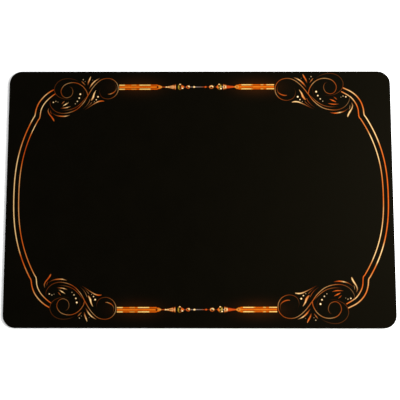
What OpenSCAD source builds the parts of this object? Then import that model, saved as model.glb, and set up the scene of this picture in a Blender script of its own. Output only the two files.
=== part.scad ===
// Close-up magic mat: a sponge pad, faced with dyed micro-suede, that a performer works cards and
// coins on. Millimetres, +Z up. The origin is the centre of the underside, +X runs along the long
// side and +Y points to the back long edge.
// The layers are face_cloth, bonding_film, foam_core and base_skin, from the top down. Every other
// node is one zone of dye, sunk into the face cloth and level with its top.

/* [Mat] */
// Length of the mat, along X
mat_length = 600; // [598:1:660]
// Width of the mat, along Y
mat_width = 400; // [398:1:440]
// Radius of the four die-cut corners
corner_radius = 20; // [8:0.5:24]

/* [Layers] */
// Thickness of the non-slip base skin
base_thickness = 0.5; // [0.3:0.05:1]
// Thickness of the sponge core
foam_thickness = 3.1; // [2:0.1:6]
// Thickness of the bonding film
film_thickness = 0.1; // [0.05:0.01:0.2]
// Thickness of the face cloth
cloth_thickness = 0.8; // [0.5:0.05:1.5]
// How deep the dye goes into the face cloth
dye_depth = 0.15; // [0.1:0.01:0.3]

/* [Print] */
// How far the whole print sits off centre, towards +Y
print_shift = 1.5; // [0:0.1:2]
// How far the whole print is turned, in degrees
print_turn = 0.15; // [0:0.05:0.2]
// Width of the outer line of each side band
outer_line = 3; // [2:0.1:3.2]
// Width of the inner line of each side band
inner_line = 2.6; // [1.6:0.1:2.8]
// Height of the four striped bars
bar_height = 10; // [6:0.5:11]
// Distance of the bars and rods from the long centreline
rod_line = 173.3; // [172:0.1:174]

/* [Hidden] */
// True circles
$fn = 48;
// Bare cloth left between two dye zones that would meet
clear = 0.35;
// Straight steps between two points of a smooth line
steps = 3;

film_z = base_thickness + foam_thickness;
cloth_z = film_z + film_thickness;
top_z = cloth_z + cloth_thickness;

// The corner scroll of the left side, from its crossing point: [outwards, towards the near long
// edge, line width]. The right side has the same scroll, enlarged and tilted.
scroll_left = [-175.5, 159.9];
scroll_right = [171.5, 161.1];
scroll_right_size = 1.067;
scroll_right_tilt = 6.8;

// Each scroll line runs from a fading end to a fading end.
stem = [
    [-19.8, 13, 0.5], [-18.3, 5, 1.3], [-23, -3, 1.5], [-33, -5.3, 1.6], [-42.5, -1, 1.9],
    [-47.6, 8, 2.1], [-46.2, 18.5, 2.1], [-39, 25.8, 2], [-29, 27.6, 2], [-19, 24.3, 2],
    [-9, 14.5, 2], [0, 0, 2.3], [6.5, -11.3, 2.3], [16.5, -21.5, 2.1], [28, -26.8, 2],
    [40, -28.3, 1.9], [50.5, -25, 1.8], [57.5, -18, 1.7], [59.6, -11, 1.2], [57.5, -6.5, 0.5]
];
eye = [
    [0, 0, 2.3], [2.5, 7.5, 2.1], [9, 15.5, 2.1], [18, 20.3, 2.1], [28, 20.7, 2.1],
    [37.5, 16.6, 2.1], [42.4, 8, 2.1], [39.8, -0.3, 2], [33, -3.4, 2], [26, 0, 1.8],
    [23.7, 7, 1.8], [26, 12.8, 1.5], [30.8, 15, 0.5]
];
ring = [
    [12.5, 21.5, 0.4], [20.5, 25.6, 1.4], [31, 27.5, 1.6], [41, 26, 1.6], [49, 20.5, 1.6],
    [53, 12, 1.6], [51.4, 4, 1.6], [46.6, -1.2, 1.5], [40.5, -4.1, 1.4], [33.5, -5.7, 1.3],
    [26.5, -5.5, 1.1], [20.5, -3.2, 0.4]
];
stem_echo = [
    [3.2, -2.8, 0.5], [9.5, -11.2, 1.8], [18.5, -18.7, 1.8], [29.5, -22.7, 1.7], [41, -23.6, 0.5]
];
curl_tip = [
    [-41.5, 20.5, 0.4], [-44.2, 15, 1.2], [-44.3, 9.4, 2.2], [-40.6, 5, 3], [-35.4, 2.6, 2.8],
    [-31.6, 2.3, 1.4]
];
eye_echo = [
    [10.5, 13, 0.4], [7.3, 6.5, 0.9], [7.8, -1.5, 0.9], [11.6, -9.3, 0.4]
];
scroll_lines = [stem, eye, ring, stem_echo, curl_tip, eye_echo];

// Leaves, each from tip to root
leaf_top = [[-4.2, 31, 0.5], [-2.6, 26.5, 3.2], [-0.6, 21.5, 3], [0.4, 16.5, 0.5]];
leaf_bud = [[10.4, 23.2, 0.5], [7.6, 20.4, 2.3], [4.3, 16.8, 0.5]];
leaf_long = [[-18, 27.8, 0.5], [-11, 23.4, 2.6], [-5.8, 17.6, 3], [-1.6, 10.5, 0.5]];
leaf_heart = [[-12.6, 8.6, 0.5], [-9.8, 2.8, 3], [-8.6, -2, 4.5], [-6.5, -6, 3.6], [-4.8, -8, 1.2]];
leaf_strand_a = [[-3.6, -5.6, 0.5], [-1.8, -10.5, 1.4], [1.8, -16, 1.1], [7.5, -21.5, 0.4]];
leaf_strand_b = [[-6.6, -10.2, 0.5], [-3.8, -13.8, 1.2], [1.2, -19.2, 0.4]];
leaf_tail = [
    [-25.6, -8.9, 1.2], [-21, -8.7, 2.9], [-15.2, -10.2, 2.8], [-7.5, -14.8, 1.8], [-0.5, -19.6, 1.2],
    [5, -23.2, 0.4]
];
leaf_chip = [[40.8, -13.4, 0.5], [38.8, -10.8, 2.2], [36.4, -8.4, 0.5]];
leaf_seed = [[39, -16.6, 0.5], [34.6, -13.8, 2.8], [30, -11, 0.5]];
leaf_slip = [[43, -20, 0.5], [37, -19.7, 1.9], [32, -18.8, 2.2], [26.8, -17, 0.5]];
leaf_far = [
    [61.2, -20, 0.5], [62.2, -24.6, 2.5], [60.2, -29.4, 2.5], [56.6, -33.8, 3.6], [53.6, -38.2, 3.4],
    [52.5, -40.8, 1.4]
];
leaf_vein = [[58.6, -23, 0.4], [58, -26.4, 1.4], [56.9, -29.6, 0.4]];
leaf_under = [[57, -27, 0.4], [49.5, -31.4, 1.6], [42, -32.8, 2.6], [34.5, -32.8, 2.6], [27.6, -31, 0.5]];
leaf_lines = [
    leaf_top, leaf_bud, leaf_long, leaf_heart, leaf_strand_a, leaf_strand_b, leaf_tail,
    leaf_chip, leaf_seed, leaf_slip, leaf_far, leaf_vein, leaf_under
];

// Pearls, in four falling runs: [outwards, towards the near long edge, radius]
pearls = [
    [12, 2.4, 2.3], [13.5, -3.8, 2], [16.4, -9.1, 1.8], [19.6, -13, 1.4],
    [-16, -1.9, 2.2], [-13.4, -6.6, 1.6], [-10.4, -9.8, 1.1],
    [54.2, -10.6, 1.8], [50.3, -9, 1.5], [47, -10.2, 1.1],
    [7.6, 25.8, 1.5], [4.7, 22.7, 1.1], [-7.2, 25.1, 1.1]
];

// The bowed stretch of each band: [half length, middle, ends], and its last steps out to the scroll
outer_left = [128.2, -288, -258.3];
outer_left_step = [[-256.2, 139], [-251.7, 149.5], [-243.8, 159.3], [-236, 165.7], [-231.2, 168.6]];
inner_left = [125.2, -280.4, -250.5];
inner_left_step = [[-248.6, 137.5], [-243.2, 148], [-235.2, 156.6], [-228.6, 161.7]];
outer_right = [128.2, 292, 258.2];
outer_right_step = [[257, 138], [253.6, 148.5], [247, 158], [238, 165.3], [229, 169.5]];
inner_right = [125.4, 284.4, 250];
inner_right_step = [[248.8, 137.5], [245, 147], [237.4, 156.6], [228.2, 163.4]];

// Rod pieces along X: each rod is [from, to], each bead is [place, radius]
rods = [[-57.6, -54.2], [-23.4, -21.5], [-13.5, -10.4], [-5.6, 7.4], [12.6, 14.3], [23.7, 26.6]];
beads = [[-52, 1.7], [-17.5, 3.5], [-8, 2], [10, 2.2], [19, 4.3]];
rod_thickness = 2;

// The smooth line through a list of points: the part between p1 and p2, at t from 0 to 1
function blend(p0, p1, p2, p3, t) =
    0.5 * (2 * p1 + (p2 - p0) * t
        + (2 * p0 - 5 * p1 + 4 * p2 - p3) * t * t
        + (3 * p1 - p0 - 3 * p2 + p3) * t * t * t);
function smooth(pts) = [
    for (i = [0 : len(pts) - 2], s = [0 : steps - 1])
        blend(pts[max(i - 1, 0)], pts[i], pts[i + 1], pts[min(i + 2, len(pts) - 1)], s / steps),
    pts[len(pts) - 1]
];

// One edge of a line with width, on the left for side 1 and on the right for side -1
function edge(path, side) = [
    for (i = [0 : len(path) - 1])
        let (a = path[max(i - 1, 0)], b = path[min(i + 1, len(path) - 1)])
        let (along = [b[0] - a[0], b[1] - a[1]])
        [path[i][0], path[i][1]] + [-along[1], along[0]] * side * path[i][2] / 2 / norm(along)
];
function reversed(list) = [for (i = [len(list) - 1 : -1 : 0]) list[i]];

// A band's path from the front scroll, round the bow, to the back scroll
function bow_x(bow, t) = bow[1] + (bow[2] - bow[1]) * pow(abs(t), 2.4);
function band_path(bow, step, width) = concat(
    smooth([for (p = reversed(step)) [p[0], -p[1], width]]),
    [for (t = [-1 : 0.125 : 1]) [bow_x(bow, t), t * bow[0], width]],
    smooth([for (p = step) [p[0], p[1], width]])
);

module line(path) {
    polygon(concat(edge(path, 1), reversed(edge(path, -1))));
}

// Places its children, drawn for the back left corner, in the named corner
module corner(right, front) {
    mirror([0, front ? 1 : 0])
        translate([right ? scroll_right[0] : scroll_left[0], right ? scroll_right[1] : scroll_left[1]])
            mirror([right ? 0 : 1, 0])
                rotate(right ? scroll_right_tilt : 0)
                    scale(right ? scroll_right_size : 1)
                        children();
}

// The scroll stops short of the inner line, where its curl runs up to it
module scroll_shape(right, front) {
    difference() {
        corner(right, front)
            for (pts = scroll_lines) line(smooth(pts));
        inner_line_shape(right, inner_line + 2 * clear);
    }
}

module leaves_shape(right, front) {
    corner(right, front)
        for (pts = leaf_lines) line(smooth(pts));
}

module pearls_shape(right, front) {
    corner(right, front)
        for (p = pearls) translate([p[0], p[1]]) circle(r = p[2]);
}

module outer_line_shape(right) {
    line(band_path(right ? outer_right : outer_left, right ? outer_right_step : outer_left_step, outer_line));
}

module inner_line_shape(right, width = inner_line) {
    line(band_path(right ? inner_right : inner_left, right ? inner_right_step : inner_left_step, width));
}

// A striped bar from the scroll at far to the rod at tip, with a stepped cap from shoulder on
module bar_shape(far, shoulder, tip, front) {
    way = sign(tip - far);
    neck = 1.3;
    translate([0, front ? -rod_line : rod_line])
        polygon([
            [far, -bar_height / 2], [shoulder, -bar_height / 2], [tip - way * 2, -neck * 1.8],
            [tip, -neck], [tip, neck], [tip - way * 2, neck * 1.8],
            [shoulder, bar_height / 2], [far, bar_height / 2]
        ]);
}

module rod_shape(front) {
    translate([0, front ? -rod_line : rod_line])
        for (r = rods)
            translate([r[0], -rod_thickness / 2]) square([r[1] - r[0], rod_thickness]);
}

module beads_shape(front) {
    translate([0, front ? -rod_line : rod_line])
        for (b = beads) translate([b[0], 0]) circle(r = b[1]);
}

// A tapered piece of the rod, from height h0 at x0 to height h1 at x1
module taper(x0, h0, x1, h1) {
    polygon([[x0, -h0 / 2], [x1, -h1 / 2], [x1, h1 / 2], [x0, h0 / 2]]);
}

module finials_shape(front) {
    translate([0, front ? -rod_line : rod_line]) {
        // Left end: a cone, then a ring with two windows
        taper(-50, 3, -36.8, 10.6);
        difference() {
            polygon([[-34, -5.3], [-29, -5.4], [-23.7, -1.4], [-23.7, 1.4], [-29, 5.4], [-34, 5.3]]);
            for (s = [-1, 1]) translate([-29.6, s * 2.9]) circle(r = 0.9);
        }
        // Right end: a gem, then a cone and its flame
        polygon([[26.9, -1.4], [31, -5.4], [36, -5.5], [36, 5.5], [31, 5.4], [26.9, 1.4]]);
        taper(38.4, 10.6, 44.8, 6.4);
        taper(45.3, 6.2, 55, 2.5);
    }
}

// All the dye zones, as drawn on the cloth
module print_shape() {
    for (right = [false, true]) {
        outer_line_shape(right);
        inner_line_shape(right);
        for (front = [false, true]) {
            scroll_shape(right, front);
            leaves_shape(right, front);
            pearls_shape(right, front);
        }
    }
    for (front = [false, true]) {
        bar_shape(-126.1, -65, -58.2, front);
        bar_shape(117.8, 62, 55.6, front);
        rod_shape(front);
        beads_shape(front);
        finials_shape(front);
    }
}

module mat_outline() {
    straight = [mat_length - 2 * corner_radius, mat_width - 2 * corner_radius];
    square([mat_length, straight[1]], center = true);
    square([straight[0], mat_width], center = true);
    for (x = [-1, 1], y = [-1, 1])
        translate([x * straight[0] / 2, y * straight[1] / 2]) circle(r = corner_radius);
}

// Where the printer laid the artwork down on the cloth
module printed() {
    translate([0, print_shift]) rotate(print_turn) children();
}

// A zone of dye, level with the top of the cloth
module dyed() {
    translate([0, 0, top_z - dye_depth]) linear_extrude(dye_depth) printed() children();
}

module face_cloth() {
    color([0.05, 0.045, 0.04]) {
        translate([0, 0, cloth_z]) linear_extrude(cloth_thickness - dye_depth) mat_outline();
        translate([0, 0, top_z - dye_depth]) linear_extrude(dye_depth) difference() {
            mat_outline();
            printed() print_shape();
        }
    }
}

module bonding_film() {
    color([0.75, 0.72, 0.6]) translate([0, 0, film_z]) linear_extrude(film_thickness) mat_outline();
}

module foam_core() {
    color([0.12, 0.12, 0.12])
        translate([0, 0, base_thickness]) linear_extrude(foam_thickness) mat_outline();
}

module base_skin() {
    color([0.16, 0.16, 0.17]) linear_extrude(base_thickness) mat_outline();
}

module copper() { color([0.86, 0.5, 0.24]) dyed() children(); }
module pale_gold() { color([0.95, 0.8, 0.55]) dyed() children(); }
module orange() { color([0.95, 0.5, 0.12]) dyed() children(); }

module outer_line_left() { copper() outer_line_shape(false); }
module inner_line_left() { copper() inner_line_shape(false); }
module outer_line_right() { copper() outer_line_shape(true); }
module inner_line_right() { copper() inner_line_shape(true); }
module scroll_back_left() { copper() scroll_shape(false, false); }
module scroll_back_right() { copper() scroll_shape(true, false); }
module scroll_front_left() { copper() scroll_shape(false, true); }
module scroll_front_right() { copper() scroll_shape(true, true); }
module leaves_back_left() { pale_gold() leaves_shape(false, false); }
module leaves_back_right() { pale_gold() leaves_shape(true, false); }
module leaves_front_left() { pale_gold() leaves_shape(false, true); }
module leaves_front_right() { pale_gold() leaves_shape(true, true); }
module pearls_back_left() { pale_gold() pearls_shape(false, false); }
module pearls_back_right() { pale_gold() pearls_shape(true, false); }
module pearls_front_left() { pale_gold() pearls_shape(false, true); }
module pearls_front_right() { pale_gold() pearls_shape(true, true); }
module bar_back_left() { orange() bar_shape(-126.1, -65, -58.2, false); }
module bar_back_right() { orange() bar_shape(117.8, 62, 55.6, false); }
module bar_front_left() { orange() bar_shape(-126.1, -65, -58.2, true); }
module bar_front_right() { orange() bar_shape(117.8, 62, 55.6, true); }
module rod_back() { copper() rod_shape(false); }
module rod_front() { copper() rod_shape(true); }
module beads_back() { pale_gold() beads_shape(false); }
module beads_front() { pale_gold() beads_shape(true); }
module finials_back() { pale_gold() finials_shape(false); }
module finials_front() { pale_gold() finials_shape(true); }

face_cloth();
bonding_film();
foam_core();
base_skin();
outer_line_left();
inner_line_left();
outer_line_right();
inner_line_right();
scroll_back_left();
scroll_back_right();
scroll_front_left();
scroll_front_right();
leaves_back_left();
leaves_back_right();
leaves_front_left();
leaves_front_right();
pearls_back_left();
pearls_back_right();
pearls_front_left();
pearls_front_right();
bar_back_left();
bar_back_right();
bar_front_left();
bar_front_right();
rod_back();
rod_front();
beads_back();
beads_front();
finials_back();
finials_front();
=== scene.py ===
# %% [markdown]
# # A close-up magic mat
# A close-up mat is a sponge pad with a black micro-suede face, on which a performer works cards and
# coins. It is a laminate that was die-cut in one stroke, so its pieces are layers: suede, bonding
# film, sponge and a non-slip rubber skin. A copper scroll border is dyed into the suede.
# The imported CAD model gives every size. This script makes the surfaces that a hand and an eye would
# find on those layers, and it starts by loading that model as a fixed frame.

# %% Load the frame
import math

import bpy
import numpy as np
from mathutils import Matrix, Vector


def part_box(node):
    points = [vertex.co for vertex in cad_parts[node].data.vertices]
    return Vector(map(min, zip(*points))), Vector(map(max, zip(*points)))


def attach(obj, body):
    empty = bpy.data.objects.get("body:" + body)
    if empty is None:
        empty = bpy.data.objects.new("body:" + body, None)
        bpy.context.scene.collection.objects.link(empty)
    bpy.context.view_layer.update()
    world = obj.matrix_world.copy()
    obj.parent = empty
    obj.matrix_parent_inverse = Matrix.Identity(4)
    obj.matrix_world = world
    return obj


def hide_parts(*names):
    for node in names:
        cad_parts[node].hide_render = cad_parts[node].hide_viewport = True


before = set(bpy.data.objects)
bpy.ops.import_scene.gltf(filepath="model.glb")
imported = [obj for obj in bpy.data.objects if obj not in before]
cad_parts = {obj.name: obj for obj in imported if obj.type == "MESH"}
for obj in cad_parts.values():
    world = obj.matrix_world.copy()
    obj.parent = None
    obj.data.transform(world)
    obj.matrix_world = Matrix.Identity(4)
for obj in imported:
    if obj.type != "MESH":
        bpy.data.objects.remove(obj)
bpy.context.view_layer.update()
MM = 0.001
scene = bpy.context.scene

# %% [markdown]
# ## The camera
# The mat lies flat and the camera hangs almost straight above it, leaning back by five and a half
# degrees, so the near edge looks a little longer than the far one. A lens of 56 mm on a 36 mm sensor
# is close to what the eye sees, and it needs no shift to centre the mat. The camera is made first,
# because every later choice of detail depends on how large a millimetre looks.

# %% Camera
LENS = 55.9
SENSOR = 36
PLACE = (5.9 * MM, -96.3 * MM, 961.7 * MM)
# Leaning back, and a hair out of true sideways and round its own axis
LEAN, SIDE_LEAN, ROLL = (math.radians(angle) for angle in (5.5, 0.3, 0.04))
cam_data = bpy.data.cameras.new("camera")
cam_data.lens = LENS
cam_data.sensor_width = SENSOR
camera = bpy.data.objects.new("camera", cam_data)
camera.location = PLACE
camera.rotation_euler = (LEAN, SIDE_LEAN, ROLL)
scene.collection.objects.link(camera)
scene.camera = camera
scene.view_settings.view_transform = "Standard"
lean = round(math.degrees(LEAN), 1)
print("camera", round(PLACE[2], 2), "m above the floor, leaning back", lean, "degrees")

# %% [markdown]
# ## Two small helpers for node trees
# Shaders and Geometry Nodes are both trees of nodes joined by sockets. Written out call by call they
# are hard to read, so `Tree.add` makes one node with its settings and its inputs in one line, and
# `Value` wraps a socket so that sums on it can be written with Python's own operators.

# %% Tree and Value
class Value:
    """A number that a node puts out. A sum on it adds a Math node."""

    def __init__(self, tree, socket):
        self.tree = tree
        self.socket = socket

    def __add__(self, other):
        return self.tree.maths("ADD", self, other)

    def __sub__(self, other):
        return self.tree.maths("SUBTRACT", self, other)

    def __rsub__(self, other):
        return self.tree.maths("SUBTRACT", other, self)

    def __mul__(self, other):
        return self.tree.maths("MULTIPLY", self, other)

    def __truediv__(self, other):
        return self.tree.maths("DIVIDE", self, other)

    def __rtruediv__(self, other):
        return self.tree.maths("DIVIDE", other, self)

    def __pow__(self, other):
        return self.tree.maths("POWER", self, other)

    __radd__ = __add__
    __rmul__ = __mul__


class Tree:
    """A node tree while it is being written."""

    def __init__(self, nodes, links):
        self.nodes = nodes
        self.links = links

    def add(self, kind, settings=None, values=None):
        """Adds a node: its settings first, then its inputs, by name or by number."""
        node = self.nodes.new(kind)
        for name, setting in (settings or {}).items():
            if name == "stops":
                self.set_stops(node.color_ramp.elements, setting)
            else:
                setattr(node, name, setting)
        for name, given in (values or {}).items():
            self.put(node.inputs[name], given)
        return node

    def set_stops(self, elements, stops):
        while len(elements) < len(stops):
            elements.new(1.0)
        for element, (place, colour) in zip(elements, stops):
            element.position = place
            element.color = (*colour, 1.0)

    def put(self, socket, given):
        if isinstance(given, Value):
            self.links.new(given.socket, socket)
        elif isinstance(given, bpy.types.NodeSocket):
            self.links.new(given, socket)
        else:
            socket.default_value = given

    def maths(self, operation, first, second=0.0):
        values = {0: first, 1: second}
        node = self.add("ShaderNodeMath", {"operation": operation}, values)
        return Value(self, node.outputs[0])

    def smooth_step(self, value, low, high):
        settings = {"interpolation_type": "SMOOTHSTEP"}
        values = {"Value": value, "From Min": low, "From Max": high}
        node = self.add("ShaderNodeMapRange", settings, values)
        return Value(self, node.outputs["Result"])

    def position(self):
        return self.add("GeometryNodeInputPosition").outputs[0]

    def parts(self, vector):
        """The x, y and z of a vector."""
        outputs = self.add("ShaderNodeSeparateXYZ", values={0: vector}).outputs
        return [Value(self, output) for output in outputs]

    def join(self, parts):
        node = self.add("GeometryNodeJoinGeometry")
        for part in parts:
            self.links.new(part, node.inputs[0])
        return node.outputs[0]


print("helpers ready")

# %% [markdown]
# ## The lie of the print
# The printer laid the artwork down a millimetre and a half off centre, and turned by a sixth of a
# degree, as the CAD model has it. Everything dyed goes through `printed`, which turns a list of
# points in the artwork's own millimetres into places on the mat in metres.

# %% Place the artwork
PRINT_SHIFT = 1.5
PRINT_TURN = math.radians(0.15)


def printed(points):
    x, y = np.asarray(points, float).T
    turned_x = x * math.cos(PRINT_TURN) - y * math.sin(PRINT_TURN)
    turned_y = x * math.sin(PRINT_TURN) + y * math.cos(PRINT_TURN) + PRINT_SHIFT
    return np.stack([turned_x, turned_y], 1) * MM


cloth_low, cloth_high = (np.array(corner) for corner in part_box("face_cloth"))
TOP = float(cloth_high[2])
HALF_LENGTH, HALF_WIDTH = float(cloth_high[0]), float(cloth_high[1])
CORNER = 20 * MM
print("top of the suede at", round(TOP / MM, 3), "mm")

# %% [markdown]
# ## The lie of the cloth
# Suede glued to sponge is never a mirror: it rises and falls by about a tenth of a millimetre over a
# hand's breadth. The cloth and the dye on it have to rise and fall together, so the height comes from
# one slow noise that both trees read. `new_tree` makes an empty Geometry Nodes tree with named
# inputs, and `grow` runs a tree on a mesh, keeps the result as a plain mesh and drops the modifier.

# %% Geometry Nodes helpers
SWELL = 0.05 * MM
SWELL_LENGTH = 70 * MM


def new_tree(name, inputs):
    group = bpy.data.node_groups.new(name, "GeometryNodeTree")
    group.interface.new_socket("Geometry", in_out="INPUT", socket_type="NodeSocketGeometry")
    for label, (kind, default) in inputs.items():
        socket = group.interface.new_socket(label, in_out="INPUT", socket_type="NodeSocket" + kind)
        if default is not None:
            socket.default_value = default
    group.interface.new_socket("Geometry", in_out="OUTPUT", socket_type="NodeSocketGeometry")
    tree = Tree(group.nodes, group.links)
    given = tree.add("NodeGroupInput").outputs
    return group, tree, given


def end_tree(tree, geometry, material):
    real = tree.add("GeometryNodeRealizeInstances", values={"Geometry": geometry}).outputs[0]
    last = tree.add("GeometryNodeSetMaterial", values={"Geometry": real, "Material": material})
    tree.add("NodeGroupOutput", values={"Geometry": last.outputs[0]})


def swell(tree, position):
    """How far the suede stands above or below its mean height at a position."""
    flat = tree.add("ShaderNodeVectorMath", {"operation": "MULTIPLY"}, {0: position, 1: (1, 1, 0)})
    noise = tree.add(
        "ShaderNodeTexNoise",
        {"noise_dimensions": "3D"},
        {"Vector": flat.outputs[0], "Scale": 1 / SWELL_LENGTH, "Detail": 1.0, "Roughness": 0.4},
    )
    return (Value(tree, noise.outputs[0]) - 0.5) * (2 * SWELL)


def grow(name, mesh, group, inputs):
    piece = bpy.data.objects.new(name, mesh)
    scene.collection.objects.link(piece)
    modifier = piece.modifiers.new(group.name, "NODES")
    modifier.node_group = group
    for item in group.interface.items_tree:
        if item.in_out == "INPUT" and item.name in inputs:
            modifier[item.identifier] = inputs[item.name]
    ready = piece.evaluated_get(bpy.context.evaluated_depsgraph_get())
    result = bpy.data.meshes.new_from_object(ready)
    result.name = name
    piece.modifiers.clear()
    piece.data = result
    print(name, "has", sum(len(p.vertices) - 2 for p in result.polygons), "triangles")
    return piece


print("the cloth swells by", SWELL / MM, "mm over", round(SWELL_LENGTH / MM), "mm")

# %% [markdown]
# ## What suede and dye look like
# Micro-suede is a brushed pile of very fine fibres. It has no gloss at all face on, a little of it at
# a low angle, and its fibres lie in clumps that catch the light a bit differently. The black is warm.
# Around the four striped bars the printer also laid down a soft orange glow, which fades out over
# about a finger's breadth: it follows the bars by a formula, on the cloth's own coordinates.
# All materials use Object coordinates, so the pattern stays on the mat when the view changes.

# %% Nap and suede
# How far the bars lie from the middle of the print, and where each starts and has its shoulder
BAR_LINE = 173.3
BARS = {"left": (-126.1, -65.0), "right": (117.8, 62.0)}
GLOW_LENGTH, GLOW_WIDTH = 33 * MM, 12.3 * MM
GLOW_SHARES = {"left": 1.0, "right": 1.4}


def new_finish(name, constants):
    material = bpy.data.materials.new(name)
    material.use_nodes = True
    tree = Tree(material.node_tree.nodes, material.node_tree.links)
    tree.nodes.clear()
    shader = tree.add("ShaderNodeBsdfPrincipled", values=constants)
    tree.add("ShaderNodeOutputMaterial", values={"Surface": shader.outputs[0]})
    where = tree.add("ShaderNodeTexCoord").outputs["Object"]
    return material, tree, shader, where


def noise(tree, where, size, detail=2.0, rough=0.5):
    values = {"Vector": where, "Scale": 1 / size, "Detail": detail, "Roughness": rough}
    return Value(tree, tree.add("ShaderNodeTexNoise", values=values).outputs[0])


def mix_colour(tree, share, first, second):
    node = tree.add("ShaderNodeMix", {"data_type": "RGBA"}, {0: share, 6: first, 7: second})
    return node.outputs[2]


def bump(tree, shader, height, strength, depth):
    """Makes a pattern of heights catch the light as if it were as deep as `depth`."""
    values = {"Strength": strength, "Distance": depth, "Height": height}
    tree.put(shader.inputs["Normal"], tree.add("ShaderNodeBump", values=values).outputs[0])


def nap(tree, shader, where, strength):
    """Fine fibres and their clumps: returns a value round 0.5 and sets the bump."""
    fibres = noise(tree, where, 0.35 * MM, 3.0, 0.6)
    clumps = noise(tree, where, 2.5 * MM)
    height = fibres * 0.7 + clumps * 0.3
    bump(tree, shader, height, strength, 0.1 * MM)
    return height


def glow_round_bars(tree, where):
    """The orange haze of the print: about 1 at a bar's middle, 0 far from all four."""
    x, y, _ = tree.parts(where)
    across = tree.maths("ABSOLUTE", y - PRINT_SHIFT * MM) - BAR_LINE * MM
    glows = []
    for side, (far, shoulder) in BARS.items():
        along = x - (far + shoulder) / 2 * MM
        distance = (along / GLOW_LENGTH) ** 2 + (across / GLOW_WIDTH) ** 2
        glows.append(tree.maths("EXPONENT", distance * -1.0) * GLOW_SHARES[side])
    return glows[0] + glows[1]


# A brushed pile sends back almost no mirror light, and what it does is warm
WARM = (1.0, 0.84, 0.46, 1)
SUEDE_GLOSS = {"Specular IOR Level": 0.021, "Specular Tint": WARM}
DEEP_BLACK = (0.0001, 0.0001, 0.0000, 1)
BRUSHED_BLACK = (0.0008, 0.0006, 0.0003, 1)
HAZE = (0.40, 0.09, 0.01, 1)
HAZE_SHARE = 0.02


def suede_finish():
    material, tree, shader, where = new_finish("suede_black", SUEDE_GLOSS)
    height = nap(tree, shader, where, 0.6)
    brushed = noise(tree, where, 45 * MM)
    shade = tree.smooth_step(height * 0.75 + brushed * 0.25, 0.3, 0.7)
    black = mix_colour(tree, shade, DEEP_BLACK, BRUSHED_BLACK)
    haze = glow_round_bars(tree, where) * (0.6 + height * 0.8)
    tree.put(shader.inputs["Base Color"], mix_colour(tree, haze * HAZE_SHARE, black, HAZE))
    tree.put(shader.inputs["Roughness"], 0.55 + shade * 0.10)
    return material


SUEDE = suede_finish()
print("finish:", SUEDE.name)

# %% [markdown]
# The dye of the border isn't one colour. Along each line it drifts between rust, orange, copper, tan
# and pale gold, and across a line it is palest in the middle and redder at its rims, which is what
# makes flat print look like round metal. Four attributes on the mesh carry that: `tone` for the hue
# along the line, `cover` for how much dye there is, `stain` for the few places that turn mossy (1) or
# ashen (-1), and `across` for how far a point is from the line's middle. The nap shows through,
# because dye only colours it.

# %% Dye
# From bare and dark to the palest, with their places on the ramp of tones
PLACES = (0.0, 0.15, 0.41, 0.6, 0.75, 0.9, 1.0)
COPPER_HUES = (
    (0.012, 0.004, 0.001), (0.26, 0.022, 0.002), (0.40, 0.074, 0.006), (0.35, 0.128, 0.030),
    (0.42, 0.24, 0.090), (0.58, 0.42, 0.19), (0.74, 0.60, 0.42),
)
BAR_HUES = (
    (0.012, 0.004, 0.001), (0.22, 0.020, 0.001), (0.38, 0.074, 0.001), (0.33, 0.110, 0.010),
    (0.36, 0.19, 0.040), (0.54, 0.35, 0.10), (0.66, 0.48, 0.22),
)
MOSS = (0.17, 0.13, 0.008, 1)
ASH = (0.26, 0.20, 0.19, 1)
UNDYED = (0.0004, 0.0003, 0.0001, 1)
DYE_GLOSS = {"Specular IOR Level": 0.02, "Specular Tint": WARM}
# How far the hue moves towards rust at the rim of a line
RIM_SHIFT = 0.55


def dye_finish(name, hues, full, rim_end):
    """A line keeps its whole cover up to `full` of its half width and loses it at `rim_end`."""
    material, tree, shader, where = new_finish(name, DYE_GLOSS)

    def attribute(label):
        node = tree.add("ShaderNodeAttribute", {"attribute_name": label})
        return Value(tree, node.outputs["Fac"])

    height = nap(tree, shader, where, 0.45)
    rim = attribute("across") ** 2
    drift = noise(tree, where, 9 * MM, 1.0)
    tone = attribute("tone") * 0.75 + 0.15 + (drift - 0.5) * 0.15 - rim * RIM_SHIFT
    stops = list(zip(PLACES, hues))
    hue = tree.add("ShaderNodeValToRGB", {"stops": stops}, {"Fac": tone}).outputs[0]
    stain = attribute("stain")
    hue = mix_colour(tree, tree.maths("MAXIMUM", stain, 0.0), hue, MOSS)
    hue = mix_colour(tree, tree.maths("MAXIMUM", stain * -1.0, 0.0), hue, ASH)
    worn = 0.72 + tree.smooth_step(height, 0.32, 0.6) * 0.28
    core = 1 - tree.smooth_step(tree.maths("ABSOLUTE", attribute("across")), full, rim_end)
    cover = attribute("cover") ** 2 * core * worn
    tree.put(shader.inputs["Base Color"], mix_colour(tree, cover, UNDYED, hue))
    tree.put(shader.inputs["Roughness"], 0.55 + height * 0.2)
    return material


DYES = {
    "dye_copper": dye_finish("dye_copper", COPPER_HUES, 0.05, 0.98),
    "dye_pale_gold": dye_finish("dye_pale_gold", COPPER_HUES, 0.35, 1.02),
    "dye_orange": dye_finish("dye_orange", BAR_HUES, 0.5, 1.05),
}
print("finishes:", list(DYES))

# %% [markdown]
# ## Growing a dyed line
# A line of the border is drawn with few points, each with its own width, tone and cover. A Geometry
# Nodes tree turns such a polyline into a smooth ribbon: a Catmull-Rom spline through the points, cut
# into even steps, with a round profile run along it. With its normals set to Z up, a curve's profile has
# its first axis sideways and its second downwards. The last node squashes that tube to a thin lens
# which lies in the suede: a hair above the nap, and as deep as the dye goes below it. Where lines
# lie over each other, as the stripes of a bar do, each carries a `lift` of its own, so that no two
# surfaces share a height. Only the points have to be touched to change the drawing.

# %% The line tree
LINE_STEP = 0.6 * MM
LINE_CROWN = 0.02 * MM
DYE_DEPTH = 0.15 * MM


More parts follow.
